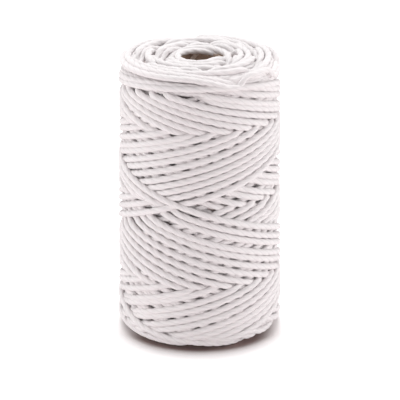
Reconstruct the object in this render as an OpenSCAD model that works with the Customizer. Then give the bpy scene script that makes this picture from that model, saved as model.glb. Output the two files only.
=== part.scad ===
// Waxed thread spool: one waxed cord, cross-wound on a paper tube, standing on its end.
// Millimetres, +Z up, with the origin at the centre of the base.

/* [Paper tube] */
// Diameter of the hole through the tube
bore_d = 12; // [10:0.5:14]
// Length of the tube
tube_length = 77.5; // [60:0.5:100]
// Thickness of the ply that lines the hole
liner_ply_t = 0.3; // [0.2:0.05:0.5]
// Thickness of the ply in the middle of the wall
middle_ply_t = 0.4; // [0.2:0.05:0.5]
// Thickness of the ply that the cord is wound on
outer_ply_t = 0.3; // [0.2:0.05:0.5]

/* [Cord] */
// Diameter of the cord
cord_d = 2; // [1.6:0.1:2.2]
// Radius of the bend where an end of the cord turns in under the turns beside it
tuck_bend_r = 2; // [1.8:0.1:2.4]

/* [Windings] */
// Diameter over the outermost turns
wound_d = 45; // [43:0.5:55]
// Height that the windings stand above the tube's upper end, beside the hole
crown_rise = 0.3; // [0.1:0.1:0.8]
// Slope of the upper end face, down from the hole, in degrees
crown_slope = 5; // [0:1:8]
// Radius of the rounding at the upper end of the inner windings
shoulder_r = 3.6; // [3:0.1:4.5]
// Radius of the rounding at the lower end of the inner windings
foot_r = 4; // [3:0.1:5]

/* [Outer turns] */
// Downward runs of the cord that are seen side by side round the spool
strands = 6; // [4:1:6]
// Whole turns in a run down and up again; one strand's step more completes it
whole_turns = 3; // [2:1:3]
// Turns that spiral out across the upper end face
top_turns = 2.9; // [1.5:0.1:2.9]
// Half of the angle in which a run curves round at either end, in degrees
turn_back = 30; // [24:1:34]
// Half of the angle in which the cord climbs from one layer to the next, in degrees
climb = 16; // [12:1:18]

/* [Clearances] */
// Room between the cord and the windings under it
seat_room = 0.3; // [0.2:0.05:0.4]
// Room between two stretches of cord that cross
crossing_room = 0.45; // [0.42:0.01:0.6]
// Room round an end of the cord in the place where it is tucked in
tuck_room = 0.3; // [0.2:0.05:0.4]

/* [Hidden] */
$fn = 96;

// Radii of the tube's plies, from the hole outwards
bore_r = bore_d / 2;
liner_r = bore_r + liner_ply_t;
middle_r = liner_r + middle_ply_t;
tube_r = middle_r + outer_ply_t;

// Facets of the cord: rings in a turn, sides of a ring and steps in an end's bend
rings = 24;
sides = 6;
bend_steps = 6;
ring_angle = 360 / rings;
cord_r = cord_d / 2;
// How far the middle of a straight facet falls inside the round turn
sag = wound_d / 2 * (1 - cos(ring_angle / 2));

// Height of the cord's centre line over the inner windings, in each layer
lower_lift = cord_r + seat_room + sag;
upper_lift = lower_lift + cord_d + crossing_room + sag;
inner_r = wound_d / 2 - cord_r - upper_lift;

// The inner windings' outline: the face's outward normal, and the corner centres
face_normal = 90 - crown_slope;
crown_z = tube_length + crown_rise;
shoulder_x = inner_r - shoulder_r;
shoulder_z = crown_z
    - (shoulder_r + (shoulder_x - tube_r) * cos(face_normal)) / sin(face_normal);
foot_x = inner_r - foot_r;

// Distances along the outline, from where the upper face meets the shoulder
arc_unit = PI / 180;
side_start = shoulder_r * face_normal * arc_unit;
foot_start = side_start + shoulder_z - foot_r;

// The cord's way over the outline: the spiral's two ends, and where the runs turn back
tuck_wall = 0.2;
spiral_in_r = tube_r + tuck_wall + tuck_room + cord_r;
spiral_out_angle = 50;
top_turn_angle = 16;
bottom_turn_angle = 16;
face_reach = shoulder_x + shoulder_r * cos(face_normal) - spiral_in_r;
spiral_in = -face_reach / sin(face_normal);
spiral_out = shoulder_r * (face_normal - spiral_out_angle) * arc_unit;
top_turn = shoulder_r * (face_normal - top_turn_angle) * arc_unit;
bottom_turn = foot_start + foot_r * bottom_turn_angle * arc_unit;

// One run from end to end: its angle, its rise for each degree and its pointed ends
run_angle = 360 * (whole_turns + 1 - 1 / strands) / 2;
run_rise = (bottom_turn - top_turn) / (run_angle - turn_back);
top_tip = top_turn - run_rise * turn_back / 2;
bottom_tip = bottom_turn + run_rise * turn_back / 2;
runs = 2 * strands - 1;

// Angles where the cord starts, leaves the face, joins the first run and ends
start_angle = -360 * top_turns;
leave_angle = -40;
join_angle = 45;
end_angle = runs * run_angle - turn_back;
spiral_rise = (spiral_out - spiral_in) / (leave_angle - start_angle);

// Turns the whole pattern, so that two runs cross a little left of the front
pattern_angle = 105;

// Smooth step from 0 to 1
function smooth(t) = let (c = max(0, min(1, t))) c * c * (3 - 2 * c);

// Curve from a to b with slopes da and db, for t from 0 to 1
function ease(a, b, da, db, t) =
    a * (1 + 2 * t) * (1 - t) ^ 2 + da * t * (1 - t) ^ 2
    + b * t ^ 2 * (3 - 2 * t) + db * t ^ 2 * (t - 1);

// Outward normal's angle at a distance along the outline
function lean(s) =
    s < 0 ? face_normal
    : s < side_start ? face_normal - s / shoulder_r / arc_unit
    : s < foot_start ? 0
    : -(s - foot_start) / foot_r / arc_unit;

// Radius and height of a point that lies lift above the outline
function over(s, lift) =
    let (a = lean(s))
    s < 0 ? [
        shoulder_x + (shoulder_r + lift) * cos(a) + s * sin(a),
        shoulder_z + (shoulder_r + lift) * sin(a) - s * cos(a)
    ]
    : s < side_start ? [
        shoulder_x + (shoulder_r + lift) * cos(a),
        shoulder_z + (shoulder_r + lift) * sin(a)
    ]
    : s < foot_start ? [inner_r + lift, shoulder_z - (s - side_start)]
    : [foot_x + (foot_r + lift) * cos(a), foot_r + (foot_r + lift) * sin(a)];

// Distance along the outline of a run that goes down and up between rounded ends
function run_place(u) =
    let (
        along = u % run_angle,
        from_tip = min(along, run_angle - along),
        down = 1 - abs(u % (2 * run_angle) / run_angle - 1),
        curve = run_rise * max(0, turn_back - from_tip) ^ 2 / (2 * turn_back)
    )
    top_tip + (bottom_tip - top_tip) * down + (down < 0.5 ? curve : -curve);

// Distance along the outline at an angle: spiral, way over the shoulder, then the runs
function place(u) =
    u < leave_angle ? spiral_in + spiral_rise * (u - start_angle)
    : u < join_angle ? ease(
        spiral_out, run_place(join_angle),
        spiral_rise * (join_angle - leave_angle),
        run_rise * (join_angle - leave_angle),
        (u - leave_angle) / (join_angle - leave_angle)
    )
    : run_place(u);

// Lift at an angle: down runs lie in the lower layer, and up runs in the upper one
function lift(u) =
    let (
        tip = round(u / run_angle),
        done = smooth((u - tip * run_angle + climb) / (2 * climb)),
        upper = u < join_angle ? 0 : tip % 2 == 1 ? done : 1 - done
    )
    lower_lift + (upper_lift - lower_lift) * upper;

// Centre line of the cord, and the outward normal of the windings under it
function turned(p, u) =
    [p[0] * cos(u + pattern_angle), p[0] * sin(u + pattern_angle), p[1]];
function centre(u) = turned(over(place(u), lift(u)), u);
function outward(u) = let (a = lean(place(u))) turned([cos(a), sin(a)], u);
function unit(v) = v / norm(v);

// An end of the cord: it bends from its way into the windings, then runs straight
function tuck(p, out, way) = concat(
    [
        for (i = [1:bend_steps])
            let (a = 90 * i / bend_steps)
            p - out * tuck_bend_r + tuck_bend_r * (out * cos(a) + way * sin(a))
    ],
    [p + (way - out) * tuck_bend_r - out * cord_d]
);
function way_at(u, step) = unit(centre(u + step) - centre(u));
function square_to(v, out) = unit(v - out * (v * out));
start_way = square_to(way_at(start_angle, -1), outward(start_angle));
end_way = square_to(way_at(end_angle, 1), outward(end_angle));
start_tuck = tuck(centre(start_angle), outward(start_angle), start_way);
end_tuck = tuck(centre(end_angle), outward(end_angle), end_way);

turn_rings = floor((end_angle - start_angle) / ring_angle);
turn_step = (end_angle - start_angle) / turn_rings;
route = concat(
    [for (i = [len(start_tuck) - 1:-1:0]) start_tuck[i]],
    [for (i = [0:turn_rings]) centre(start_angle + i * turn_step)],
    end_tuck
);

// Directions of the rings, each carried on from the one before with the least twist
function heading(p, i) = unit(p[min(i + 1, len(p) - 1)] - p[max(i - 1, 0)]);
function level(v, along) = unit(v - along * (v * along));
headings = [for (i = [0:len(route) - 1]) heading(route, i)];
side_ways = [
    for (
        i = 0, v = level([0, 0, 1] + start_way, headings[0]);
        i < len(route);
        i = i + 1, v = i < len(route) ? level(v, headings[i]) : v
    ) v
];

// Least gap between stretches of the cord that cross or lie side by side
parts_of_chord = 4;
near = 2 * arc_unit * ring_angle * wound_d / 2;
apart = 4 * cord_d;
reached = [
    for (
        i = 0, way = 0;
        i < len(route);
        i = i + 1, way = i < len(route) ? way + norm(route[i] - route[i - 1]) : way
    ) way
];
function chord_point(i, k) =
    route[i] + (route[i + 1] - route[i]) * (k / parts_of_chord);
self_gap = min([
    for (i = [0:len(route) - 2])
        for (j = [i + 1:1:len(route) - 2])
            if (reached[j] - reached[i] > apart && norm(route[i] - route[j]) < near)
                for (a = [0:parts_of_chord - 1])
                    for (b = [0:parts_of_chord - 1])
                        norm(chord_point(i, a) - chord_point(j, b))
]) - cord_d;
cord_length = reached[len(route) - 1];
echo(loops = (end_angle - start_angle) / 360, cord_length, least_gap = self_gap);

// One ply of the tube
module ply(inside_r, outside_r) {
    rotate_extrude()
        translate([inside_r, 0])
            square([outside_r - inside_r, tube_length]);
}

module tube_liner_ply() {
    color([0.45, 0.31, 0.21])
        ply(bore_r, liner_r);
}

module tube_middle_ply() {
    color([0.6, 0.46, 0.34])
        ply(liner_r, middle_r);
}

module tube_outer_ply() {
    color([0.55, 0.4, 0.28])
        ply(middle_r, tube_r);
}

// Half section of the inner windings: flat base, rounded foot and shoulder, sloped crown
module windings_section() {
    translate([tube_r, 0])
        square([foot_x - tube_r, foot_r]);
    translate([foot_x, foot_r])
        circle(r = foot_r);
    translate([tube_r, foot_r])
        square([inner_r - tube_r, shoulder_z - foot_r]);
    translate([shoulder_x, shoulder_z])
        circle(r = shoulder_r);
    polygon([
        [tube_r, shoulder_z],
        [shoulder_x, shoulder_z],
        over(0, 0),
        [tube_r, crown_z]
    ]);
}

// Place for a tucked end: a round hole with a flat bottom, and a slot at its mouth
module tuck_place(tip, out, way) {
    across = cross(out, way);
    place_r = cord_r + tuck_room;
    mouth = lower_lift + tuck_bend_r;
    multmatrix([
        [way[0], across[0], out[0], tip[0]],
        [way[1], across[1], out[1], tip[1]],
        [way[2], across[2], out[2], tip[2]],
        [0, 0, 0, 1]
    ]) {
        cylinder(r = place_r, h = cord_d + mouth);
        translate([-tuck_bend_r, -place_r, cord_d])
            cube([tuck_bend_r, 2 * place_r, mouth]);
    }
}

module cord_inner_windings() {
    color([0.86, 0.84, 0.81])
        difference() {
            rotate_extrude()
                windings_section();
            tuck_place(route[0], outward(start_angle), start_way);
            tuck_place(route[len(route) - 1], outward(end_angle), end_way);
        }
}

// The cord itself, as one closed tube along the route
module cord_outer_turns() {
    points = [
        for (i = [0:len(route) - 1])
            let (up = side_ways[i], across = cross(headings[i], up))
            for (k = [0:sides - 1])
                let (a = 360 * k / sides)
                route[i] + cord_r * (up * cos(a) + across * sin(a))
    ];
    last = (len(route) - 1) * sides;
    walls = [
        for (i = [0:len(route) - 2])
            for (k = [0:sides - 1])
                let (
                    a = i * sides + k,
                    b = i * sides + (k + 1) % sides
                )
                each [[a, a + sides, b + sides], [a, b + sides, b]]
    ];
    caps = [
        for (k = [1:sides - 2])
            each [[0, k, k + 1], [last, last + k + 1, last + k]]
    ];
    color([0.97, 0.96, 0.94])
        polyhedron(points = points, faces = concat(walls, caps), convexity = 10);
}

tube_liner_ply();
tube_middle_ply();
tube_outer_ply();
cord_inner_windings();
cord_outer_turns();
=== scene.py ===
# %% [markdown]
# A spool of waxed cord. The real thing is one long white cord, cross-wound on a short paper tube by
# a machine whose guide runs up and down while the tube turns. Nothing holds the cord but its own
# tension and wax, so its shape is the record of how it was wound. This lesson winds it again, turn
# by turn, and lets each older turn settle under the newer ones that cross it.

# %% Load the fixed frame and keep its box
import math

import bpy
import numpy as np
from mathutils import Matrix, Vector


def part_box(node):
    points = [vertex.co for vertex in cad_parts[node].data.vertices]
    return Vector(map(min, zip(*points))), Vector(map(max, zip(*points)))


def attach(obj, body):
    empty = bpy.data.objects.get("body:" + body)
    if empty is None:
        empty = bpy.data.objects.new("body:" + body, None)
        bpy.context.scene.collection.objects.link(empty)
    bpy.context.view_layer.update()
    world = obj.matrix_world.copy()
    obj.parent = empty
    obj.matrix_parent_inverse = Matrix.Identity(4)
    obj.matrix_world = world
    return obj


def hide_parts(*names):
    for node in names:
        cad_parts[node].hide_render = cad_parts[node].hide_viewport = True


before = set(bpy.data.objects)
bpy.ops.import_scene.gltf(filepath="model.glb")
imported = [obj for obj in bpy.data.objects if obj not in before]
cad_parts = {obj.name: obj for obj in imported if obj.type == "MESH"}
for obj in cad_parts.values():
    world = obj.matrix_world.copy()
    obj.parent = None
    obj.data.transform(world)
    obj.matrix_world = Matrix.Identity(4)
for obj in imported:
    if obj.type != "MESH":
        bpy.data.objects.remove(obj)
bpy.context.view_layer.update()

MM = 0.001


# %% [markdown]
# The sizes that the winding must fit come from the frame: the tube that stands in the middle and
# the barrel of cord around it. Reading them here, instead of typing them, ties the cord to the part.

# %% Read the sizes of the tube and the barrel
tube_low, tube_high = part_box("tube_outer_ply")
barrel_low, barrel_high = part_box("cord_outer_turns")
tube_r = (tube_high[0] - tube_low[0]) / 2 / MM
tube_top = tube_high[2] / MM
barrel_r = (barrel_high[0] - barrel_low[0]) / 2 / MM
barrel_top = barrel_high[2] / MM
print(f"tube radius {tube_r:.2f}, tube top {tube_top:.2f}, barrel radius {barrel_r:.2f}, "
      f"barrel top {barrel_top:.2f} mm")

# %% [markdown]
# The camera is set before anything else is made. A small product is usually taken from about half a
# metre away and from a little above. From so near, the top face is seen at a flatter angle than the
# foot, and the sides would seem to close in downwards if they did not widen a little. The lens
# follows from the distance and from how many millimetres the picture is wide at the object.

# %% Set the camera
PICTURE_PX = 400
PICTURE_MM_PER_PX = 0.2798
CAMERA_RISE = math.radians(19.66)
CAMERA_FAR = 0.571
AIM_PX = (199.7, 189.6)
AIM_HEIGHT = 39.4 * MM

picture_w = PICTURE_PX * PICTURE_MM_PER_PX * MM
to_camera = np.array([0.0, -math.cos(CAMERA_RISE), math.sin(CAMERA_RISE)])
aim = np.array([0.0, 0.0, AIM_HEIGHT])

camera_data = bpy.data.cameras.new("camera")
camera_data.sensor_width = 36
camera_data.lens = camera_data.sensor_width * CAMERA_FAR / picture_w
camera_data.shift_x = (PICTURE_PX / 2 - AIM_PX[0]) / PICTURE_PX
camera_data.shift_y = (AIM_PX[1] - PICTURE_PX / 2) / PICTURE_PX
camera_data.clip_start = 0.01
camera_data.clip_end = 20
camera_data.dof.use_dof = False
camera = bpy.data.objects.new("camera", camera_data)
camera.location = aim + to_camera * CAMERA_FAR
camera.rotation_euler = (math.pi / 2 - CAMERA_RISE, 0, 0)
bpy.context.collection.objects.link(camera)
bpy.context.scene.camera = camera
bpy.context.scene.view_settings.view_transform = "Standard"
print(f"lens {camera_data.lens:.0f} mm at {CAMERA_FAR} m")

# %% [markdown]
# The light is that of a white tent, the kind that small white goods are taken in. It could be one
# big lamp, but one lamp leaves a dark side. Here a broad panel at each side makes the barrel's edges
# brighter than its middle. A low one in front, with a trace of pink, reaches into the gaps between
# the turns, and a roof a little behind makes the top face the brightest. The powers are low, so that
# white cord stays just under full white.

# %% Hang the four panels
SIDE_SIZE = (0.5, 0.4)
FRONT_SIZE = (0.7, 0.2)


def panel(name, place, size, watts, colour=(1.0, 1.0, 1.0)):
    """A rectangular lamp that faces the middle of the spool."""
    light = bpy.data.lights.new(name, "AREA")
    light.shape = "RECTANGLE"
    light.size, light.size_y = size
    light.energy = watts
    light.color = colour
    lamp = bpy.data.objects.new(name, light)
    lamp.location = place
    way = Vector([float(v) for v in aim - np.array(place)])
    lamp.rotation_euler = way.to_track_quat("-Z", "Y").to_euler()
    bpy.context.collection.objects.link(lamp)
    print(f"{name}: {watts} W from {way.length:.2f} m")


panel("left_panel", (-0.55, 0.05, 0.16), SIDE_SIZE, 1.5)
panel("right_panel", (0.55, 0.05, 0.16), SIDE_SIZE, 1.6)
panel("front_panel", (0.0, -0.9, 0.12), FRONT_SIZE, 1.9, (1.0, 0.93, 0.94))
panel("roof_panel", (0.0, 0.22, 0.8), SIDE_SIZE, 4.45)

# %% [markdown]
# Air, floor, cord and paper all get their finish from shader nodes. A node takes three steps: make
# it, set its options, and fill or link its sockets. One helper does all three, and a few short ones
# on top of it let a finish read as a list of what it is made of.

# %% Write the node helpers
def node(tree, kind, sockets=None, **options):
    """Add a shader node. A socket takes a value, or another node's output to link."""
    made = tree.nodes.new(kind)
    for key, value in options.items():
        setattr(made, key, value)
    for key, value in (sockets or {}).items():
        if isinstance(value, bpy.types.NodeSocket):
            tree.links.new(value, made.inputs[key])
        else:
            made.inputs[key].default_value = value
    return made


def calc(tree, operation, *terms):
    """Result of a math node on numbers and other nodes' outputs."""
    return node(tree, "ShaderNodeMath", dict(enumerate(terms)), operation=operation).outputs[0]


def remap(tree, value, start=(0.0, 1.0), end=(0.0, 1.0), **options):
    """A value taken from one range to another, and kept inside it."""
    sockets = {"Value": value, "From Min": start[0], "From Max": start[1],
               "To Min": end[0], "To Max": end[1]}
    return node(tree, "ShaderNodeMapRange", sockets, **options).outputs["Result"]


def blend(tree, share, first, second):
    """Two colours mixed by a share."""
    sockets = {"Factor": share, "A": first, "B": second}
    return node(tree, "ShaderNodeMix", sockets, data_type="RGBA").outputs["Result"]


def show_by_ray(tree, seen, other, output):
    """Show one shader to the camera and the other one to all other rays."""
    path = node(tree, "ShaderNodeLightPath")
    sockets = {0: path.outputs["Is Camera Ray"], 1: other.outputs[0], 2: seen.outputs[0]}
    pick = node(tree, "ShaderNodeMixShader", sockets)
    tree.links.new(pick.outputs[0], output.inputs["Surface"])


print("helpers:", ", ".join(made.__name__ for made in (node, calc, remap, blend, show_by_ray)))

# %% [markdown]
# The air of the tent glows weakly from everywhere, as its white walls do. The camera sees plain
# white instead, so the background doesn't hang on how strong the glow is.

# %% Fill the air with a weak glow
WORLD_GLOW = 0.42
GLOW_COLOUR = (1.0, 0.985, 0.99, 1)
FULL_WHITE = (1, 1, 1, 1)

world = bpy.data.worlds.new("tent_air")
bpy.context.scene.world = world
world.use_nodes = True
tree = world.node_tree
tree.nodes.clear()
glow = node(tree, "ShaderNodeBackground", {"Color": GLOW_COLOUR, "Strength": WORLD_GLOW})
backdrop = node(tree, "ShaderNodeBackground", {"Color": FULL_WHITE, "Strength": 1.0})
show_by_ray(tree, backdrop, glow, node(tree, "ShaderNodeOutputWorld"))
print(f"glow {WORLD_GLOW}")

# %% [markdown]
# The floor is white to the camera and pale to all other rays, so it takes a shadow and throws no
# more light up than a real floor does. The shadow that tells how the spool stands is the dark wedge
# under its rounded foot. Lamps this broad hardly cast it, so it is painted: the floor's colour deepens
# to a warm brown wherever much of the room above it is covered close by. At both sides, where the
# side panels shine under the foot, the painted shadow fades out.

# %% Mix the floor's paint and its painted shadow
FLOOR_WHITE = (1.5, 1.5, 1.5, 1)
FLOOR_PALE = (0.88, 0.84, 0.84, 1)
# how far the paint looks for cover, in metres, and with how many rays
CONTACT_REACH = 0.023
CONTACT_RAYS = 16
# full painted shadow below the first share of open room, none above the second
CONTACT_RANGE = (0.35, 0.85)
# the warm brown colour of the painted shadow
PAINTED_SHADOW_TINT = (0.26, 0.19, 0.18, 1)
# the painted shadow fades out between these distances to the side
CONTACT_SIDE = (0.015, 0.028)

floor_paint = bpy.data.materials.new("floor_white_painted_shadow")
floor_paint.use_nodes = True
tree = floor_paint.node_tree
tree.nodes.clear()
# painted shadow: the floor's colour darkens where the room above it is covered close by
near = node(tree, "ShaderNodeAmbientOcclusion", {"Distance": CONTACT_REACH}, samples=CONTACT_RAYS)
deepen = remap(tree, near.outputs["AO"], CONTACT_RANGE, interpolation_type="SMOOTHSTEP")
place = node(tree, "ShaderNodeTexCoord").outputs["Object"]
aside = calc(tree, "ABSOLUTE", node(tree, "ShaderNodeSeparateXYZ", {0: place}).outputs["X"])
fade = remap(tree, aside, CONTACT_SIDE, interpolation_type="SMOOTHSTEP")
shade = blend(tree, calc(tree, "MAXIMUM", deepen, fade), PAINTED_SHADOW_TINT, FLOOR_WHITE)
seen = node(tree, "ShaderNodeBsdfDiffuse", {"Color": shade})
pale = node(tree, "ShaderNodeBsdfDiffuse", {"Color": FLOOR_PALE})
show_by_ray(tree, seen, pale, node(tree, "ShaderNodeOutputMaterial"))
print(f"{floor_paint.name}: shaded where cover lies within {CONTACT_REACH / MM:.0f} mm")

# %% [markdown]
# The floor itself is one flat square, so wide that its edges never show. It isn't part of the spool.

# %% Lay the floor
FLOOR_HALF = 3.0


def add_object(name, mesh, paint):
    """Put a mesh into the scene with its paint."""
    made = bpy.data.objects.new(name, mesh)
    bpy.context.collection.objects.link(made)
    mesh.materials.append(paint)
    return made


corners = [(x * FLOOR_HALF, y * FLOOR_HALF, 0) for x, y in ((-1, -1), (1, -1), (1, 1), (-1, 1))]
floor_mesh = bpy.data.meshes.new("floor")
floor_mesh.from_pydata(corners, [], [(0, 1, 2, 3)])
floor = add_object("floor", floor_mesh, floor_paint)
print(f"floor {2 * FLOOR_HALF:.0f} m wide")

# %% [markdown]
# The outline of the barrel is a straight side that widens a little towards the foot, a tight
# shoulder at the top and a rounder foot, where the turns slump. Every turn is later placed by two
# numbers: how far it has walked along this outline, and how deep it lies under it.

# %% Define the barrel's outline
CORD_R = 0.9
# how far the side lies inside the frame's barrel at the top, and outside it at the foot
TOP_IN = 0.25
FOOT_OUT = 0.8
# the two rounded corners, and how far the top face lies under the frame's barrel
SHOULDER_R = 1.9
FOOT_R = 4.5
FACE_DIP = 0.8

TOP_R = barrel_r - TOP_IN
FOOT_SIDE_R = barrel_r + FOOT_OUT
FACE_EDGE = round(float(barrel_top) - FACE_DIP, 2)


def side_r(z):
    """Radius of the straight side at a height."""
    return FOOT_SIDE_R + (TOP_R - FOOT_SIDE_R) * z / FACE_EDGE


def side_place(walk, depth):
    """Radius, height and outward tilt of a point that lies a depth under the barrel's outline.

    The walk is the height on the straight side. Past the shoulder and the foot it goes on as
    length round the corner, so a walk below the foot ends up on the bottom face.
    """
    over = (walk - (FACE_EDGE - SHOULDER_R)) / (SHOULDER_R - CORD_R)
    under = (FOOT_R - walk) / (FOOT_R - CORD_R)
    tilt = np.clip(over, 0, math.pi / 2) - np.clip(under, 0, math.pi / 2)
    corner = np.where(tilt > 0, SHOULDER_R, FOOT_R)
    corner_z = np.where(tilt > 0, FACE_EDGE - SHOULDER_R, FOOT_R)
    straight = (over <= 0) & (under <= 0)
    z = np.where(straight, walk, corner_z + (corner - depth) * np.sin(tilt))
    r = side_r(np.where(straight, walk, corner_z)) - corner + (corner - depth) * np.cos(tilt)
    past = np.abs(tilt) >= math.pi / 2
    r = r - np.where(past, np.maximum(over, under) - math.pi / 2, 0) * (corner - CORD_R)
    return r, z, tilt


print(f"side radius {side_r(0):.2f} at the foot and {side_r(FACE_EDGE):.2f} at the top, "
      f"corners of {FOOT_R} and {SHOULDER_R} mm")

# %% [markdown]
# The winding law. The guide climbs in a little over two turns of the tube and falls in as many. Two
# strokes make four whole turns and 18.6 degrees. Those last degrees set each new turn about one
# cord's width beside the one before it, so about 19 double strokes cover the barrel once. Near each
# end the guide slows down and turns back, which bends the cord into a rounded tip.

# %% Write down how the guide moves
STROKE_TURN = 729.3
MID_Z = 41.6
# of each half: its reach in mm, how much of the stroke is eased, and the degrees of its tip
UPPER_HALF = (39.2, 0.20, 85.0)
LOWER_HALF = (43.5, 0.20, 60.0)


def stroke_height(turn):
    """Height of the guide at a turn of the tube; even strokes climb, odd ones fall."""
    stroke = np.floor(turn / STROKE_TURN)
    part = 2 * (turn / STROKE_TURN - stroke) - 1
    part = part * (1 - 2 * np.mod(stroke, 2))
    away = np.abs(part)
    left = (1 - away) * STROKE_TURN / 2
    halves = []
    for span, ease, tip in (UPPER_HALF, LOWER_HALF):
        z = span * ((1 - ease) * away + ease * np.sin(np.pi * away / 2))
        end_slope = span * (1 - ease) * 2 / STROKE_TURN
        halves.append(z - end_slope * np.clip(tip - left, 0, None) ** 2 / (2 * tip))
    return MID_Z + np.where(part > 0, halves[0], -halves[1])


low_tip, high_tip = stroke_height(np.array([0.0, STROKE_TURN]))
print(f"the guide turns back at {low_tip:.1f} and {high_tip:.1f} mm")

# %% [markdown]
# The run is followed from the oldest turn that is made to the newest, in steps of a fifth of a
# millimetre. The last stroke is turned so that its middle comes to the front, a little to the left.
# After the last tip there is a short tail, which leaves the law and runs on under the foot.

# %% Sample the turns of the run
STROKES = 110
SAMPLE = 0.2
# degrees that the tail runs past the last tip, and where round the tube the last stroke's middle is
TAIL_END = 85.0
FRONT = -100.0

last_turn = STROKES * STROKE_TURN
end_turn = last_turn + TAIL_END
count = int(math.radians(end_turn) * barrel_r / SAMPLE)
turn = np.linspace(0, end_turn, count)
last_mid = (STROKES - 0.5) * STROKE_TURN
angle = np.radians(turn - last_mid + FRONT)

# for the tail the guide stands still at the last tip
wound = np.minimum(turn, last_turn)
stroke_no = np.minimum(np.floor(wound / STROKE_TURN).astype(int), STROKES - 1)
stroke_part = wound / STROKE_TURN - stroke_no
tip_no = np.round(wound / STROKE_TURN).astype(int)
tip_away = np.abs(wound - tip_no * STROKE_TURN)
print(f"{STROKES} strokes, {count} points, {end_turn / 360:.0f} turns of the tube")

# %% [markdown]
# A machine's strokes are even, but soft cord slips. Each tip turns back a little early or late and a
# little high or low, and each stroke sits a little off its line. The newest tips at the top have
# nothing over them to hold them, so they have slid on and down; with each older double stroke that
# fades. The last two strokes lie over all others and keep to their line.

# %% Draw how far tips and strokes slip
# lags in degrees, drops and shifts in millimetres
TIP_LAG = 6.0
LAST_TIP_LAG = 14.0
LAST_TIP_DROP = 2.1
LAST_TIP_FADE = 0.88
STROKE_SHIFT = 0.3
TIP_SHIFT = 0.6

rng = np.random.default_rng(11)
tip_lag = rng.normal(size=STROKES + 1) * TIP_LAG
# every second tip, counted back from the newest one at the top
fading = LAST_TIP_FADE ** np.arange(STROKES // 2)
tip_lag[-2::-2] = tip_lag[-2::-2] * (1 - fading) + LAST_TIP_LAG * fading
tip_drop = np.zeros(STROKES + 1)
tip_drop[-2::-2] = LAST_TIP_DROP * fading
stroke_shift = rng.normal(size=STROKES) * STROKE_SHIFT
stroke_shift[-2:] = 0
tip_shift = rng.uniform(-1, 1, size=STROKES + 1) * TIP_SHIFT
tip_shift[-2:] = 0
print(f"tips lag {tip_lag.min():.0f} to {tip_lag.max():.0f} degrees")

# %% [markdown]
# Law, slips and a slow wander add up to the walk, which is how high each point lies on the barrel.
# What a tip does fades along its two strokes like a bell, and a stroke's own shift fades to nothing
# at its tips, so that no kink shows anywhere.

# %% Add up the walk of the cord
# degrees over which a tip's lag and drop, and its shift, fade
TIP_SPAN = 110.0
TIP_SHIFT_SPAN = 45.0
# how far the cord wanders, and the length from one drift to the next
WANDER = 0.12
WANDER_RUN = 60.0


def slow_noise(count, spread):
    """Gentle random values with a knot every spread samples."""
    knots = rng.normal(size=int(count / spread) + 4)
    place = np.arange(count) / spread
    knot = place.astype(int)
    share = place - knot
    share = share * share * (3 - 2 * share)
    return knots[knot] * (1 - share) + knots[knot + 1] * share


near_tip = np.exp(-(tip_away / TIP_SPAN) ** 2)
walk = stroke_height(wound - tip_lag[tip_no] * near_tip)
walk -= tip_drop[tip_no] * near_tip
walk += stroke_shift[stroke_no] * np.sqrt(np.sin(np.pi * stroke_part).clip(0, 1))
walk += tip_shift[tip_no] * np.exp(-(tip_away / TIP_SHIFT_SPAN) ** 2)
walk += WANDER * slow_noise(count, WANDER_RUN / SAMPLE)
print(f"walk from {walk.min():.1f} to {walk.max():.1f} mm")

# %% [markdown]
# The tail is the one stretch that a hand has touched. It has a few knots of its own, of degrees from
# the last tip and of lift in millimetres: it runs a little high before the tip, and past it it goes
# down round the foot. A smooth window rounds the knots off.

# %% Lead the tail under the foot
TAIL_TURN = (-170.0, -80.0, -45.0, 0.0, 30.0, 60.0, TAIL_END)
TAIL_LIFT = (0.0, 2.9, 2.0, 1.6, -0.5, -4.0, -7.0)
TAIL_SOFTEN = 30.0

tail = np.interp(turn - last_turn, TAIL_TURN, TAIL_LIFT)
window = np.hanning(int(math.radians(TAIL_SOFTEN) * barrel_r / SAMPLE))
half = len(window) // 2
padded = np.pad(tail, half, mode="edge")
walk += np.convolve(padded, window / window.sum(), mode="same")[half:half + count]
print(f"the tail ends at a walk of {walk[-1]:.1f} mm, which is on the bottom face")

# %% [markdown]
# The tips of the law bend back below the shoulder, so by themselves they leave it thin. On a wound
# spool the oldest layers have already filled it. Here the oldest nine turns do this: they are led
# down from the shoulder and up again, like a bandage.

# %% Lead the oldest turns round the shoulder
SHOULDER_TURNS = (0.0, 1700.0, 3400.0)
SHOULDER_WALK = (78.5, 71.0, 78.5)

early = turn < SHOULDER_TURNS[-1]
walk[early] = np.interp(turn[early], SHOULDER_TURNS, SHOULDER_WALK)
print(f"{SHOULDER_TURNS[-1] / 360:.1f} turns led round the shoulder")

# %% [markdown]
# How the turns lie on each other. Pressing the cord on from the inside would need all of the hidden
# windings first. This works from the outside in instead: the newest turn lies at the outline, and
# each older one stays at the outline too, unless a newer turn crosses it. There it has to pass
# underneath. A grid remembers the underside of everything already laid. Laying a cord writes its
# round belly into the grid on rails side by side, and a few feelers near the middle of an older cord
# read from the grid how low it has to lie.

# %% Write the grid that remembers laid cord
# side of a cell, room round a flat face, and a height that no cord reaches
CELL = 0.2
MARGIN = 3.0
NOTHING = 1e3
# an older cord feels across this share of its radius, with so many feelers
REACH = 0.35
FEELERS = 5
RAILS = 17


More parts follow.
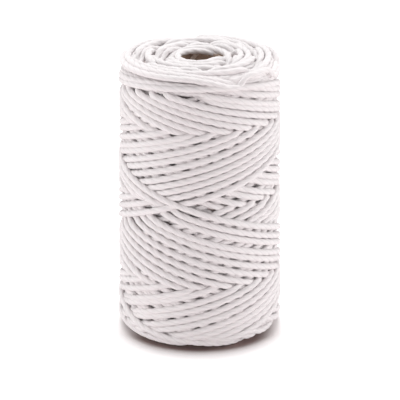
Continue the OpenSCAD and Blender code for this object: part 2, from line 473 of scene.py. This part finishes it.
class LaidGrid:
    """The underside of all cord laid so far, and where the points of one run lie on it."""

    def __init__(self, across, along, wrap):
        """Wrap is the length round the barrel, or 0 on a flat face."""
        self.across, self.along, self.wrap = across, along, wrap
        self.low_u = 0.0 if wrap else across.min() - MARGIN
        self.low_v = along.min() - MARGIN
        if wrap:
            self.cells_u = int(round(wrap / CELL))
        else:
            self.cells_u = int((across.max() - self.low_u + MARGIN) / CELL)
        self.cells_v = int((along.max() - self.low_v + MARGIN) / CELL)
        self.underside = np.full((self.cells_u, self.cells_v), NOTHING)
        way_u, way_v = np.gradient(across), np.gradient(along)
        size = np.hypot(way_u, way_v)
        self.side_u, self.side_v = -way_v / size, way_u / size

    def cells(self, i, w):
        """Cells of the run's points i, moved w millimetres sideways."""
        u = np.round((self.across[i] + w * self.side_u[i] - self.low_u) / CELL).astype(int)
        v = np.round((self.along[i] + w * self.side_v[i] - self.low_v) / CELL).astype(int)
        u = np.mod(u, self.cells_u) if self.wrap else u.clip(0, self.cells_u - 1)
        return u, v.clip(0, self.cells_v - 1)

    def press(self, i, centre, squash):
        """The centre of the points i, pressed down to pass under what is laid."""
        for w in np.linspace(-REACH, REACH, FEELERS) * CORD_R:
            room = self.underside[self.cells(i, w)] - math.sqrt(CORD_R ** 2 - w * w) + squash
            centre = np.minimum(centre, room)
        return centre

    def lay(self, i, centre):
        """Add the points i of the run to what is laid."""
        for w in np.linspace(-1, 1, RAILS) * CORD_R:
            low = centre - math.sqrt(max(CORD_R ** 2 - w * w, 0))
            np.minimum.at(self.underside, self.cells(i, w), low)


print(f"cells of {CELL} mm, {int(2 * math.pi * barrel_r / CELL)} round the barrel")

# %% [markdown]
# A cord is soft, so where two cross they press into each other, and it is stiff, so it dips in a
# slope and not in a step. Squash is how much of the two thicknesses goes missing. The dip is first
# held for a short run on both sides of the crossing and then eased with a smooth window.

# %% Settle each older turn under the newer ones
SQUASH = 0.85
# lengths along the cord: the dip is held over one and eased over the other
DIVE = 1.0
EASE_RUN = 3.0
# how much of a stretch is laid late, so that the next one doesn't dive under its own cord
OWN_RUN = 4 * CORD_R
DEEPEST = 4.4


def smoothed(values, window, **padding):
    """Weighted mean along a run, by a window of odd length."""
    padded = np.pad(values, len(window) // 2, **(padding or {"mode": "edge"}))
    return np.convolve(padded, window / window.sum(), mode="valid")


def settle(across, along, level, squash, stops, wrap):
    """Heights of a cord's centre when each stretch is laid under all newer ones.

    The stops part the run into stretches that don't cross themselves. A point starts at its level
    and can only be pressed down from there.
    """
    grid = LaidGrid(across, along, wrap)
    half = int(DIVE / SAMPLE)
    ease = int(EASE_RUN / SAMPLE)
    window = np.hanning(2 * ease + 3)[1:-1]
    own = int(OWN_RUN / SAMPLE)
    rest = np.zeros(len(level))
    for start, end in zip(stops[-2::-1], stops[:0:-1]):
        i = np.arange(max(start - 2 * ease, 0), min(end + 2 * ease, len(level)))
        laid = i >= end
        limit = grid.press(i, level[i], squash[i])
        limit[laid] = rest[i[laid]]
        padded = np.pad(limit, half, mode="edge")
        lowest = np.lib.stride_tricks.sliding_window_view(padded, 2 * half + 1).min(1)
        lowest[laid] = rest[i[laid]]
        eased = smoothed(lowest, window)
        new = (i >= start) & (i < end)
        rest[i[new]] = np.maximum(eased[new], level[i[new]] - DEEPEST)
        # the oldest bit of this stretch is laid together with the next one
        j = np.arange(start + own if start else 0, min(end + own, len(level)))
        grid.lay(j, rest[j])
    return rest


print(f"one crossing lowers a cord by {2 * CORD_R - SQUASH:.2f} mm, all together by {DEEPEST} at most")

# %% [markdown]
# The levels that the turns start from. The newest cycle lies at the outline, and older cord starts
# lower, so that it shows as shade in the gaps and not as one flat skin. Near both ends the turns
# crowd, so they press into each other more.

# %% Settle the side windings
# strokes that cover the barrel once
CYCLE = 38
# drop for each cycle of age, and a further one that comes over this share of the second cycle
SLOW_DROP = 0.2
AGE_DROP = 0.6
AGE_FADE = 0.3
# in the crown, between these walks, old and new start alike
CROWN = (71.0, 75.0, 77.0, 78.2)
SHOULDER_LEVEL = -0.3
# past this far from the middle the squash grows
END_SQUASH = 0.95
END_FROM = 27.0
END_FADE = 6.0
# degrees of one stretch, which never crosses itself
STRETCH = 180.0

girth = 2 * math.pi * barrel_r
age = (last_turn - turn).clip(0, None) / (STROKE_TURN * CYCLE)
level = -SLOW_DROP * age - AGE_DROP * ((age - 1) / AGE_FADE).clip(0, 1)
crown_share = np.interp(walk, CROWN, (0.0, 1.0, 1.0, 0.0))
level *= 1 - crown_share
level[early] = SHOULDER_LEVEL
end_share = ((np.abs(walk - MID_Z) - END_FROM) / END_FADE).clip(0, 1)
squash = SQUASH + (END_SQUASH - SQUASH) * end_share
inner_stops = np.searchsorted(turn, np.arange(STRETCH, turn[-1], STRETCH))
stops = np.concatenate([[0], inner_stops, [count]])
level = settle(angle * barrel_r, walk, level, squash, stops, girth)
print(f"{len(stops) - 1} stretches, the lowest point {-level.min():.1f} mm under the outline")

# %% [markdown]
# Just under the shoulder this leaves dents, where many tips cross and even the outermost cord lies
# deep. A taut package has none, because a cord there slides out until its neighbours stop it. So the
# outermost cord's depth is mapped round the crown, smoothed, and added back to every turn there.

# %% Fill the crown out to its outline
# side of a coarse cell, and how many cells the search and the blur reach
ROOM_CELL = 0.6
ROOM_REACH = 2
ROOM_BLUR = 5
# length over which the lift is eased, and the most that it may be
ROOM_RUN = 12.0
ROOM_MOST = 3.0


def room_above(across, along, level, wrap):
    """How far the outermost cord near each point lies under the outline."""
    cells_u = int(wrap / ROOM_CELL)
    u = np.mod(across / wrap * cells_u, cells_u).astype(int)
    v = ((along - along.min()) / ROOM_CELL).astype(int)
    top = np.full((cells_u, v.max() + 1), -NOTHING)
    np.maximum.at(top, (u, v), level)
    for axis in (0, 1):
        top = np.max([np.roll(top, step, axis) for step in range(-ROOM_REACH, ROOM_REACH + 1)], axis=0)
    top = np.mean([np.roll(top, step, 0) for step in range(-ROOM_BLUR, ROOM_BLUR + 1)], axis=0)
    return smoothed(-top[u, v].clip(-ROOM_MOST, 0), np.hanning(int(ROOM_RUN / SAMPLE) | 1))


lift = crown_share * room_above(angle * barrel_r, walk, level, girth)
level += lift
print(f"the crown's turns are lifted by up to {lift.max():.1f} mm")

# %% [markdown]
# With the levels known, each point goes to its place in space. The tail's end is tucked in, because
# the winder pushes it under the turns of the bottom face.

# %% Place the run in space
TAIL_TUCK = 2.2
TUCK_RUN = 30.0


def round_points(angle, radius, height):
    """Points of an angle, a radius and a height."""
    return np.stack([radius * np.cos(angle), radius * np.sin(angle), height], 1)


def walked_along(points):
    """Length of the run up to each of its points."""
    return np.concatenate([[0], np.cumsum(np.linalg.norm(np.diff(points, axis=0), axis=1))])


tuck = 1 - ((end_turn - turn) / TUCK_RUN).clip(0, 1)
level -= TAIL_TUCK * tuck * tuck * (3 - 2 * tuck)
run_r, run_z, tilt = side_place(walk, CORD_R - level)
run = round_points(angle, run_r, run_z)
outward = round_points(angle, np.cos(tilt), np.sin(tilt))
print(f"wound length at the side: {walked_along(run)[-1] / 1000:.1f} m")

# %% [markdown]
# The cord's surface. Three plies are twisted together, so its section has three round lobes with
# shallow valleys between them, and it turns once in every nine and a half millimetres. Three
# strands could be swept apart, but nobody looks inside the cord, and they would weigh three times as
# much. One closed tube shows the same. It is a little flatter than it is wide, as a taut cord is.

# %% Shape the cord's section
# length of one full twist
LAY = 9.5
PLIES = 3
# how deep a valley is, as a share of the radius, and how narrow
VALLEY = 0.16
VALLEY_FORM = 1.5
PLY_CREST = CORD_R * 1.04
FLATTEN = 0.95


def ply_section(sides):
    """The section's radius at each of its corners."""
    lobe = np.abs(np.sin(PLIES * math.pi * (np.arange(sides) / sides)))
    return PLY_CREST * (1 - VALLEY * (1 - lobe) ** VALLEY_FORM)


print(f"cord {2 * PLY_CREST:.2f} mm wide and {2 * PLY_CREST * FLATTEN:.2f} mm thick over the plies")

# %% [markdown]
# A cord of nearly three metres has thousands of rings, and adding its faces one by one is slow. The
# mesh takes them as whole arrays instead. Each corner also gets the cord's own coordinates: how far
# round the cord it lies, as a share, and how far along, in millimetres. The finish is painted in
# these. They are written corner by corner, so the seam where the share starts again stays sharp.

# %% Write the mesh of a swept tube
def tube_mesh(name, verts, at, sides):
    """A closed tube of rings that lie at the given lengths along the cord."""
    rings = len(at)
    ring = np.arange(rings - 1)[:, None] * sides
    a = np.arange(sides)[None, :]
    b = (a + 1) % sides
    quads = np.stack([ring + a, ring + b, ring + sides + b, ring + sides + a], -1).reshape(-1, 4)
    caps = np.array([np.arange(sides)[::-1], np.arange(sides) + (rings - 1) * sides])
    sizes = np.concatenate([np.full(len(quads), 4), np.full(2, sides)])
    mesh = bpy.data.meshes.new(name)
    mesh.vertices.add(len(verts))
    mesh.vertices.foreach_set("co", verts.astype(np.float32).ravel())
    mesh.loops.add(sizes.sum())
    corners = np.concatenate([quads.ravel(), caps.ravel()])
    mesh.loops.foreach_set("vertex_index", corners.astype(np.int32))
    mesh.polygons.add(len(sizes))
    mesh.polygons.foreach_set("loop_start", (np.cumsum(sizes) - sizes).astype(np.int32))
    mesh.polygons.foreach_set("use_smooth", np.ones(len(sizes), bool))
    mesh.update(calc_edges=True)
    low, high = at[:-1, None], at[1:, None]
    round_cord = [np.broadcast_to(share, (rings - 1, sides)) for share in (a, a + 1, a + 1, a)]
    along_cord = [np.broadcast_to(length, (rings - 1, sides)) for length in (low, low, high, high)]
    lay = np.stack([np.stack(round_cord, -1).ravel() / sides, np.stack(along_cord, -1).ravel()], 1)
    uv = mesh.uv_layers.new(name="cord_lay")
    uv.data.foreach_set("uv", np.concatenate([lay, np.zeros((2 * sides, 2))]).astype(np.float32).ravel())
    mesh.validate()
    return mesh


print("coordinates of the cord: share round it, length along it in mm")

# %% [markdown]
# The sweep puts rings at even steps along the run. The outward direction of the barrel gives each
# ring its up side, so the flat of the cord lies on the barrel. The section turns a little further
# on each ring, by how far it has come along the cord, and that is all the twist needs.

# %% Write the cord sweeper
FEWEST_RINGS = 4


def unit(vectors):
    """Vectors of length one."""
    return vectors / np.linalg.norm(vectors, axis=1)[:, None]


def sweep(name, points, outward, ring_step, sides, paint):
    """A twisted three-ply cord along points, all in millimetres."""
    walked = walked_along(points)
    at = np.linspace(0, walked[-1], max(int(walked[-1] / ring_step), FEWEST_RINGS))
    centre = np.stack([np.interp(at, walked, points[:, k]) for k in range(3)], 1)
    up = np.stack([np.interp(at, walked, outward[:, k]) for k in range(3)], 1)
    ahead = unit(np.gradient(centre, axis=0))
    up = unit(up - ahead * (up * ahead).sum(1)[:, None])
    side = np.cross(ahead, up)
    size = ply_section(sides)
    around = 2 * math.pi * (np.arange(sides)[None, :] / sides + at[:, None] / LAY)
    verts = (centre[:, None, :] + (size * np.cos(around) * FLATTEN)[:, :, None] * up[:, None, :]
             + (size * np.sin(around))[:, :, None] * side[:, None, :])
    return add_object(name, tube_mesh(name, verts.reshape(-1, 3) * MM, at, sides), paint)


print(f"the section turns {360 / LAY:.0f} degrees in a millimetre")

# %% [markdown]
# The cord's finish. Waxed cotton is white with a trace of warmth, and it scatters light softly with
# a low, wide gloss. Fine fibres run along it, the wax lies unevenly, and the valleys between the
# plies are painted a little darker, as shade. All of this comes from noise laid in the cord's own
# coordinates, so it follows every bend. A second, darker mix is painted shade: it is for cord deep
# inside, where little light gets.

# %% Mix the waxed cotton
# painted shade and width of the valleys
GROOVE_SHADE = 0.90
GROOVE_WIDE = 0.45
# what uneven wax does to the colour
WAX_SPREAD = 0.955
WARM = (1.0, 0.975, 0.98)
# scales of the fibres round and along the cord, and their height in metres
FIBRES_ROUND = 42
FIBRE_PER_MM = 0.5
FIBRE_DEEP = 0.00006
# scale of the wax patches, and their gloss and roughness
PATCHES = 90
WAX_GLOSS = 0.3
WAX_ROUGH = (0.5, 0.72)


def new_paint(name):
    """A new material, its node tree and its shader."""
    paint = bpy.data.materials.new(name)
    paint.use_nodes = True
    return paint, paint.node_tree, paint.node_tree.nodes["Principled BSDF"]


def waxed_cotton(name, colour):
    """Twisted cotton with uneven wax and painted shade in its valleys; the colour is that of clean cord, or
    a darker one that is painted shade.
    """
    paint, tree, shader = new_paint(name)
    shader.inputs["Specular IOR Level"].default_value = WAX_GLOSS
    lay = node(tree, "ShaderNodeUVMap", uv_map="cord_lay").outputs["UV"]
    split = node(tree, "ShaderNodeSeparateXYZ", {0: lay})
    round_ply, along = split.outputs["X"], split.outputs["Y"]
    # the first coordinate turns with the plies; taking the twist out lets the fibres run straight
    straight = calc(tree, "MULTIPLY_ADD", along, 1 / LAY, round_ply)
    strand = {"X": calc(tree, "MULTIPLY", straight, FIBRES_ROUND),
              "Y": calc(tree, "MULTIPLY", along, FIBRE_PER_MM)}
    where = node(tree, "ShaderNodeCombineXYZ", strand).outputs[0]
    fibre = node(tree, "ShaderNodeTexNoise", {"Scale": 1.0, "Detail": 3.0, "Vector": where}).outputs["Fac"]
    # wax lies in soft patches and makes the cord a little duller, warmer or glossier
    place = node(tree, "ShaderNodeTexCoord").outputs["Object"]
    patch = node(tree, "ShaderNodeTexNoise", {"Scale": PATCHES, "Detail": 2, "Vector": place}).outputs["Fac"]
    dull = (*[c * WAX_SPREAD for c in colour], 1)
    warm = (*[c * w for c, w in zip(colour, WARM)], 1)
    waxed = blend(tree, patch, blend(tree, fibre, dull, (*colour, 1)), warm)
    # painted shade: the valleys between the plies are a little darker
    lobe = calc(tree, "ABSOLUTE", calc(tree, "SINE", calc(tree, "MULTIPLY", round_ply, PLIES * math.pi)))
    painted_valley_shade = remap(tree, lobe, (0.0, GROOVE_WIDE), (GROOVE_SHADE, 1.0))
    tint = node(tree, "ShaderNodeVectorMath", {0: waxed, "Scale": painted_valley_shade}, operation="SCALE").outputs[0]
    tree.links.new(tint, shader.inputs["Base Color"])
    bump = node(tree, "ShaderNodeBump", {"Strength": 0.5, "Distance": FIBRE_DEEP, "Height": fibre})
    tree.links.new(bump.outputs["Normal"], shader.inputs["Normal"])
    tree.links.new(remap(tree, patch, end=WAX_ROUGH), shader.inputs["Roughness"])
    return paint


white_cord = waxed_cotton("waxed_cotton", (0.87, 0.85, 0.85))
# the darker copy is painted shade, for cord deep inside where little light gets
shaded_cord = waxed_cotton("waxed_cotton_painted_shade", (0.60, 0.53, 0.52))
print("mixed:", white_cord.name, "and", shaded_cord.name)

# %% [markdown]
# Now the side windings. The newest cycle of 19 double strokes makes the outermost layer, and it is
# swept finely, in four pieces, so that no single mesh grows too heavy. The cycle beneath it and what
# is left of the oldest turns show only through the gaps, so they get longer steps and fewer sides.
# All six are one and the same cord.

# %% Sweep the side windings
SIDES, RING = 12, 0.5
DEEP_SIDES, DEEP_RING = 9, 1.5
# each piece runs from where the last one ends to this many strokes before the last tip
PIECE_ENDS = {"cord_turns_deep": 2 * CYCLE, "cord_turns_beneath": CYCLE, "cord_turns_outer_a": 29,
              "cord_turns_outer_b": 19, "cord_turns_outer_c": 10, "cord_turns_outer_d": 0}


def stand_for_turns(piece):
    """Attach a piece to the root and hide the frame's plain outer turns, which it stands for."""
    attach(piece, "root")
    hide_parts("cord_outer_turns")


begin = 0.0
for name, strokes_left in PIECE_ENDS.items():
    end = (STROKES - strokes_left) * STROKE_TURN if strokes_left else end_turn
    keep = (turn >= begin) & (turn <= end)
    sides, ring = (SIDES, RING) if "outer" in name else (DEEP_SIDES, DEEP_RING)
    piece = sweep(name, run[keep], outward[keep], ring, sides, white_cord)
    stand_for_turns(piece)
    print(f"{name}: {walked_along(run[keep])[-1] / 1000:.2f} m, {len(piece.data.polygons)} faces")
    begin = end

# %% [markdown]
# One more bandage of the same cord lies low under the shoulder, where the tips of the newest cycle
# part and one could look deep in. It is two and a half turns of a plain helix.

# %% Wrap the shoulder
SHOULDER_WRAP = (72.4, 76.3)
SHOULDER_WRAP_DEEP = 2.1
SHOULDER_WRAP_TURN = 900.0
WRAP_STEP = 0.5

wrap_angle = np.radians(np.arange(0, SHOULDER_WRAP_TURN, WRAP_STEP))
wrap_walk = np.linspace(*SHOULDER_WRAP, len(wrap_angle))
wrap_r, wrap_z, _ = side_place(wrap_walk, SHOULDER_WRAP_DEEP)
wrap_run = round_points(wrap_angle, wrap_r, wrap_z)
wrap_out = round_points(wrap_angle, 1.0, 0 * wrap_angle)
piece = sweep("cord_turns_shoulder", wrap_run, wrap_out, DEEP_RING, DEEP_SIDES, white_cord)
stand_for_turns(piece)
print(f"{piece.name}: {walked_along(wrap_run)[-1] / 1000:.2f} m")

# %% [markdown]
# Under all these turns lies more of the same cord. No eye reaches it except through the darkest
# gaps, so winding it would be wasted. It is one closed body turned on a lathe, which follows the
# barrel's outline and has round ribs one cord apart, on its side and on both end faces. It wears
# the darker mix of the cord, which is painted shade.

# %% Turn the wound core
# how deep its side and its faces lie, the room round the tube, and the height of a rib
CORE_DEEP = 3.9
FACE_SKIN = 3.4
HOLE_ROOM = 0.02
RIB = 0.35
CORE_SIDE_POINTS = 400
CORE_FACE_POINTS = 70
CORE_SEGMENTS = 96


def ribs(along):
    """Height of round ribs one cord apart."""
    return RIB * np.abs(np.sin(math.pi * along / (2 * CORD_R)))


def lathe(name, outline, segments, paint):
    """A closed ring turned from an outline of (radius, height) points, in millimetres."""
    around = np.arange(segments) * 2 * math.pi / segments
    radius, height = outline[:, :1], outline[:, 1:]
    verts = np.stack([radius * np.cos(around), radius * np.sin(around), height + 0 * around], -1)
    faces = []
    for i in range(len(outline)):
        low, high = i * segments, (i + 1) % len(outline) * segments
        for s in range(segments):
            t = (s + 1) % segments
            faces.append((low + s, low + t, high + t, high + s))
    mesh = bpy.data.meshes.new(name)
    mesh.from_pydata((verts.reshape(-1, 3) * MM).tolist(), [], faces)
    mesh.polygons.foreach_set("use_smooth", np.ones(len(faces), bool))
    share = np.append(walked_along(outline), 0) / (2 * math.pi * CORD_R)
    length = np.arange(segments + 1) / segments * girth
    lay = [(share[i + up], length[j + on]) for i in range(len(outline)) for j in range(segments)
           for up, on in ((0, 0), (0, 1), (1, 1), (1, 0))]
    uv = mesh.uv_layers.new(name="cord_lay")
    uv.data.foreach_set("uv", np.array(lay, np.float32).ravel())
    return add_object(name, mesh, paint)


core_z = np.linspace(FACE_SKIN, FACE_EDGE - FACE_SKIN, CORE_SIDE_POINTS)
core_r = side_r(core_z) - CORE_DEEP + ribs(core_z)
top_r = np.linspace(core_r[-1], tube_r + HOLE_ROOM, CORE_FACE_POINTS)
foot_r = np.linspace(tube_r + HOLE_ROOM, core_r[0], CORE_FACE_POINTS)
outline = np.concatenate([np.stack([core_r, core_z], 1),
                          np.stack([top_r, core_z[-1] + ribs(top_r)], 1),
                          np.stack([foot_r, core_z[0] - ribs(foot_r)], 1)])
# the core wears the darker copy of the cord, which paints the shade deep inside the winding
core = lathe("cord_core", outline, CORE_SEGMENTS, shaded_cord)
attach(core, "root")
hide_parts("cord_inner_windings")
print(f"core: {len(outline)} outline points, {len(core.data.polygons)} faces")

# %% [markdown]
# The end faces. Seen from the end, each stroke turns back in an arc round the hole, and each arc
# lies over the ends of the ones before it. The side windings above turn back at the shoulder, so the
# faces get arcs of their own. They follow each other from the hole to the rim like the steps of a
# spiral stair, and both ends of an arc slip outwards and down, under the next ring. Each step turns
# by 137 degrees, so that no ends line up. Near the rim the face drops a little and bends into the
# corner.

# %% Plan the arcs of an end face
# degrees from one arc to the next and from an arc's middle to its ends, each with its slip
ARC_STEP = 137.0
ARC_STEP_SLIP = 9.0
ARC_HALF = 108.0
ARC_HALF_SLIP = 8.0
# past this share of the way to its end an arc goes out and sinks, by so much in all
ARC_FLAT = 0.4
ARC_OUT = 0.55
ARC_SINK = 2.7
# how much deeper the lower layer starts
ARC_UNDER = 1.3
# distance of the rings and its slip, and the drop of the face at its rim
RING_STEP = 1.8
RING_SLIP = 0.15
RIM_DROP = 0.45


def face_arcs(first_angle, first_r, last_r, rim_r, flat_r, corner, deep=0.0):
    """Runs of the arcs, innermost first: angle, radius and height over the face, which is negative."""
    runs = []
    arcs = int((last_r - first_r) / RING_STEP * 360 / ARC_STEP)
    for j in range(arcs):
        middle = first_angle + j * ARC_STEP + rng.uniform(-ARC_STEP_SLIP, ARC_STEP_SLIP)
        reach = ARC_HALF + rng.uniform(-ARC_HALF_SLIP, ARC_HALF_SLIP)
        arc_r = first_r + j * RING_STEP * ARC_STEP / 360 + rng.uniform(-RING_SLIP, RING_SLIP)
        share = np.linspace(-1, 1, int(math.radians(2 * reach) * arc_r / SAMPLE))
        edge = (np.abs(share) - ARC_FLAT).clip(0, 1) / (1 - ARC_FLAT)
        r = arc_r + ARC_OUT * edge ** 2
        over = (r - flat_r).clip(0, corner - CORD_R)
        bend = corner - CORD_R - np.sqrt((corner - CORD_R) ** 2 - over ** 2)
        drop = deep + RIM_DROP * ((r - rim_r) / CORD_R).clip(0, 1)
        runs.append((np.radians(middle + share * reach), r, -CORD_R - bend - drop - ARC_SINK * edge ** 3))
    return runs


print(f"one arc spans {2 * ARC_HALF:.0f} degrees, and a ring takes {360 / ARC_STEP:.1f} arcs")

# %% [markdown]
# A few wraps at the faces don't follow any rule, so they are led through a handful of given knots:
# an angle in degrees, a radius, and a height over the face, which is negative. The knots are joined
# and eased into one smooth run. Then all runs of a face settle on each other just as the side
# windings did, the last one on top, and the face becomes one piece.

# %% Write the helpers that lay a face
FACE_SQUASH = 0.8


def through(knots):
    """A smooth run through knots, at the usual sample distance."""
    knots = np.array(knots, float)
    length = np.abs(np.radians(np.diff(knots[:, 0]))).sum() * knots[:, 1].mean()
    at = np.linspace(0, len(knots) - 1, int(length / SAMPLE))
    window = np.hanning(int(len(at) / len(knots)) | 1)
    rows = [np.interp(at, np.arange(len(knots)), knots[:, k]) for k in range(3)]
    theta, r, h = [smoothed(row, window, mode="reflect", reflect_type="odd") for row in rows]
    return np.radians(theta), r, h


def lay_face(runs):
    """Settle the runs on each other, the last one on top, and give their points."""
    theta, r, h = [np.concatenate([run[k] for run in runs]) for k in range(3)]
    stops = np.concatenate([[0], np.cumsum([len(run[0]) for run in runs])])
    h = settle(r * np.cos(theta), r * np.sin(theta), h, np.full(len(h), FACE_SQUASH), stops, 0.0)
    points = round_points(theta, r, h)
    return [points[a:b] for a, b in zip(stops[:-1], stops[1:])]


def face_piece(name, laid, face_z, side):
    """Sweep the runs of a face and join them; side is 1 for the top and -1 for the bottom."""
    bpy.ops.object.select_all(action="DESELECT")
    length = 0
    for points in laid:
        up = np.tile([0.0, 0.0, float(side)], (len(points), 1))
        points = points * [1, side, side] + [0, 0, face_z]
        arc = sweep(name, points, up, RING, SIDES, white_cord)
        arc.select_set(True)
        length += walked_along(points)[-1]
    piece = bpy.data.objects[name]
    bpy.context.view_layer.objects.active = piece
    bpy.ops.object.join()
    stand_for_turns(piece)
    print(f"{name}: {len(laid)} runs, {length / 1000:.2f} m, {len(piece.data.polygons)} faces")


print(f"a crossing on a face lowers a cord by {2 * CORD_R - FACE_SQUASH:.1f} mm")

# %% [markdown]
# The top face has two layers of arcs, so that one can't see past the upper one. At the hole the
# innermost wraps are loose: one lies round the front of it, one runs round its rim and cuts across
# its right, and another crosses over them from the back. They rest on the end of the paper tube.
# Two wraps only fill: one runs right round the rim, under the arcs, and a short one lies deep at
# the right of the front.

# %% Lay the top face with its loose wraps
front_wrap = [(150, 8.5, -3.4), (170, 7.9, -1.9), (190, 7.7, -1.5), (212, 8.1, -1.4), (235, 8.8, -1.3),
              (260, 9.2, -1.2), (285, 9.0, -1.2), (305, 7.8, -1.3), (325, 7.3, -1.4), (345, 7.5, -1.5),
              (365, 8.1, -1.7), (385, 9.3, -3.4)]
rim_wrap = [(24, 8.3, -3.6), (42, 7.3, -2.1), (60, 6.5, -1.55), (85, 6.1, -1.35), (110, 6.0, -1.3),
            (137, 5.9, -1.2), (170, 5.9, -1.1), (195, 6.1, -1.1), (225, 7.0, -1.05), (255, 7.5, -1.05),
            (283, 7.3, -1.0), (304, 6.1, -1.0), (321, 6.0, -1.0), (350, 6.8, -1.1), (375, 7.7, -1.3),
            (395, 8.6, -2.0), (415, 9.4, -3.6)]
cross_wrap = [(168, 9.3, -3.6), (146, 8.5, -1.8), (120, 7.9, -1.1), (95, 7.4, -0.95), (70, 7.3, -0.9),
              (45, 7.0, -0.85), (20, 7.1, -0.85), (0, 7.7, -0.9), (-22, 8.5, -1.5), (-42, 9.4, -3.6)]
edge_round = [(degrees, 21.1, -1.7) for degrees in range(76, 405, 16)]
edge_wrap = [(60, 20.7, -3.8)] + edge_round + [(420, 20.8, -3.8)]
deep_wrap = [(296, 15.6, -4.2), (312, 15.6, -2.2), (352, 15.2, -2.2), (370, 14.8, -4.2)]

top_shape = {"first_r": tube_r + CORD_R, "last_r": 20.9, "rim_r": 19.4,
             "flat_r": TOP_R - SHOULDER_R, "corner": SHOULDER_R}
arcs = face_arcs(80.0, **top_shape, deep=ARC_UNDER) + face_arcs(20.0, **top_shape)
loose = [through(knots) for knots in (front_wrap, rim_wrap, cross_wrap)]
laid = lay_face([through(edge_wrap)] + arcs + loose)
laid.append(round_points(*through(deep_wrap)))
face_piece("cord_top_arcs", laid, FACE_EDGE, 1)

# %% [markdown]
# The bottom face is made the same way and turned over. The cord's tail comes round the foot and lies
# on it, so the arcs settle under the tail as well. The tail itself is already swept with the newest
# turns, so here it only presses.

# %% Lay the bottom face under the cord's tail
TAIL_ON_FACE = 25.0
FOOT_HOLE_ROOM = 1.0

tail_part = turn > last_turn + TAIL_ON_FACE
tail_run = (-angle[tail_part], run_r[tail_part], -run_z[tail_part])
foot_shape = {"first_r": tube_r + FOOT_HOLE_ROOM, "last_r": 19.6, "rim_r": 16.6,
              "flat_r": FOOT_SIDE_R - FOOT_R, "corner": FOOT_R}
arcs = face_arcs(190.0, **foot_shape, deep=ARC_UNDER) + face_arcs(130.0, **foot_shape)
face_piece("cord_bottom_arcs", lay_face(arcs + [tail_run])[:-1], 0.0, -1)

# %% [markdown]
# The paper tube keeps the shape it has in the frame. Kraft paper is brown, with short felted fibres
# over slow stains, and a tube is rolled from a strip on a slant, so one edge of the strip climbs it
# as a pale seam. The cut rim is rubbed pale too. A printed picture of paper would repeat and blur at
# this size; noise does neither, and the seam is one line of arithmetic: it is where the angle round
# the tube plus the height over the strip's lead comes out at a half.

# %% Mix the kraft paper
# metres that the strip climbs in one turn, the seam's share of them, and where it starts
STRIP_LEAD = 0.040
SEAM_SHARE = 0.045
SEAM_PHASE = 0.30
# metres of worn rim, and how pale it gets
RIM_WEAR = 0.0007
RIM_WEAR_MOST = 0.7
# scales of the fibres and stains, the range that they spread over, and their height in metres
PAPER_FIBRES = 1400
PAPER_STAINS = 160
PAPER_SPREAD = (0.12, 0.42)
PAPER_DEEP = 0.00005
PAPER_ROUGH = (0.75, 0.95)


def kraft(name, colour, dark, pale):
    """Brown paper: its main colour, its dark stains and its pale worn edges."""
    paint, tree, shader = new_paint(name)
    place = node(tree, "ShaderNodeTexCoord").outputs["Object"]
    x, y, z = node(tree, "ShaderNodeSeparateXYZ", {0: place}).outputs
    # fibres: short and felted, over slow stains
    noise = {"Scale": PAPER_FIBRES, "Detail": 6, "Vector": place}
    fibre = node(tree, "ShaderNodeTexNoise", noise).outputs["Fac"]
    noise = {"Scale": PAPER_STAINS, "Detail": 2, "Vector": place}
    stain = node(tree, "ShaderNodeTexNoise", noise).outputs["Fac"]
    spread = remap(tree, calc(tree, "MULTIPLY", fibre, stain), PAPER_SPREAD)
    tint = blend(tree, spread, (*dark, 1), (*colour, 1))
    # seam: one edge of the strip climbs the tube as a helix
    turns = calc(tree, "MULTIPLY_ADD", calc(tree, "ARCTAN2", y, x), 1 / (2 * math.pi), SEAM_PHASE)
    climb = calc(tree, "FRACT", calc(tree, "MULTIPLY_ADD", z, 1 / STRIP_LEAD, turns))
    seam = calc(tree, "COMPARE", climb, 0.5, SEAM_SHARE / 2)
    # wear: the upper rim is rubbed pale
    worn = remap(tree, z, (tube_top * MM - RIM_WEAR, tube_top * MM), (0.0, RIM_WEAR_MOST))
    rubbed = calc(tree, "MULTIPLY", calc(tree, "MAXIMUM", seam, worn), fibre)
    tree.links.new(blend(tree, rubbed, tint, (*pale, 1)), shader.inputs["Base Color"])
    bump = node(tree, "ShaderNodeBump", {"Strength": 0.8, "Distance": PAPER_DEEP, "Height": fibre})
    tree.links.new(bump.outputs["Normal"], shader.inputs["Normal"])
    tree.links.new(remap(tree, stain, end=PAPER_ROUGH), shader.inputs["Roughness"])
    return paint


plies = {"tube_liner_ply": ((0.62, 0.45, 0.35), (0.27, 0.18, 0.14), (0.95, 0.85, 0.78)),
         "tube_middle_ply": ((0.45, 0.32, 0.22), (0.30, 0.20, 0.13), (0.62, 0.50, 0.38)),
         "tube_outer_ply": ((0.48, 0.34, 0.24), (0.33, 0.22, 0.15), (0.66, 0.54, 0.42))}
for ply, colours in plies.items():
    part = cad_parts[ply]
    part.data.materials.clear()
    part.data.materials.append(kraft(ply + "_paper", *colours))
print("papered:", ", ".join(plies))
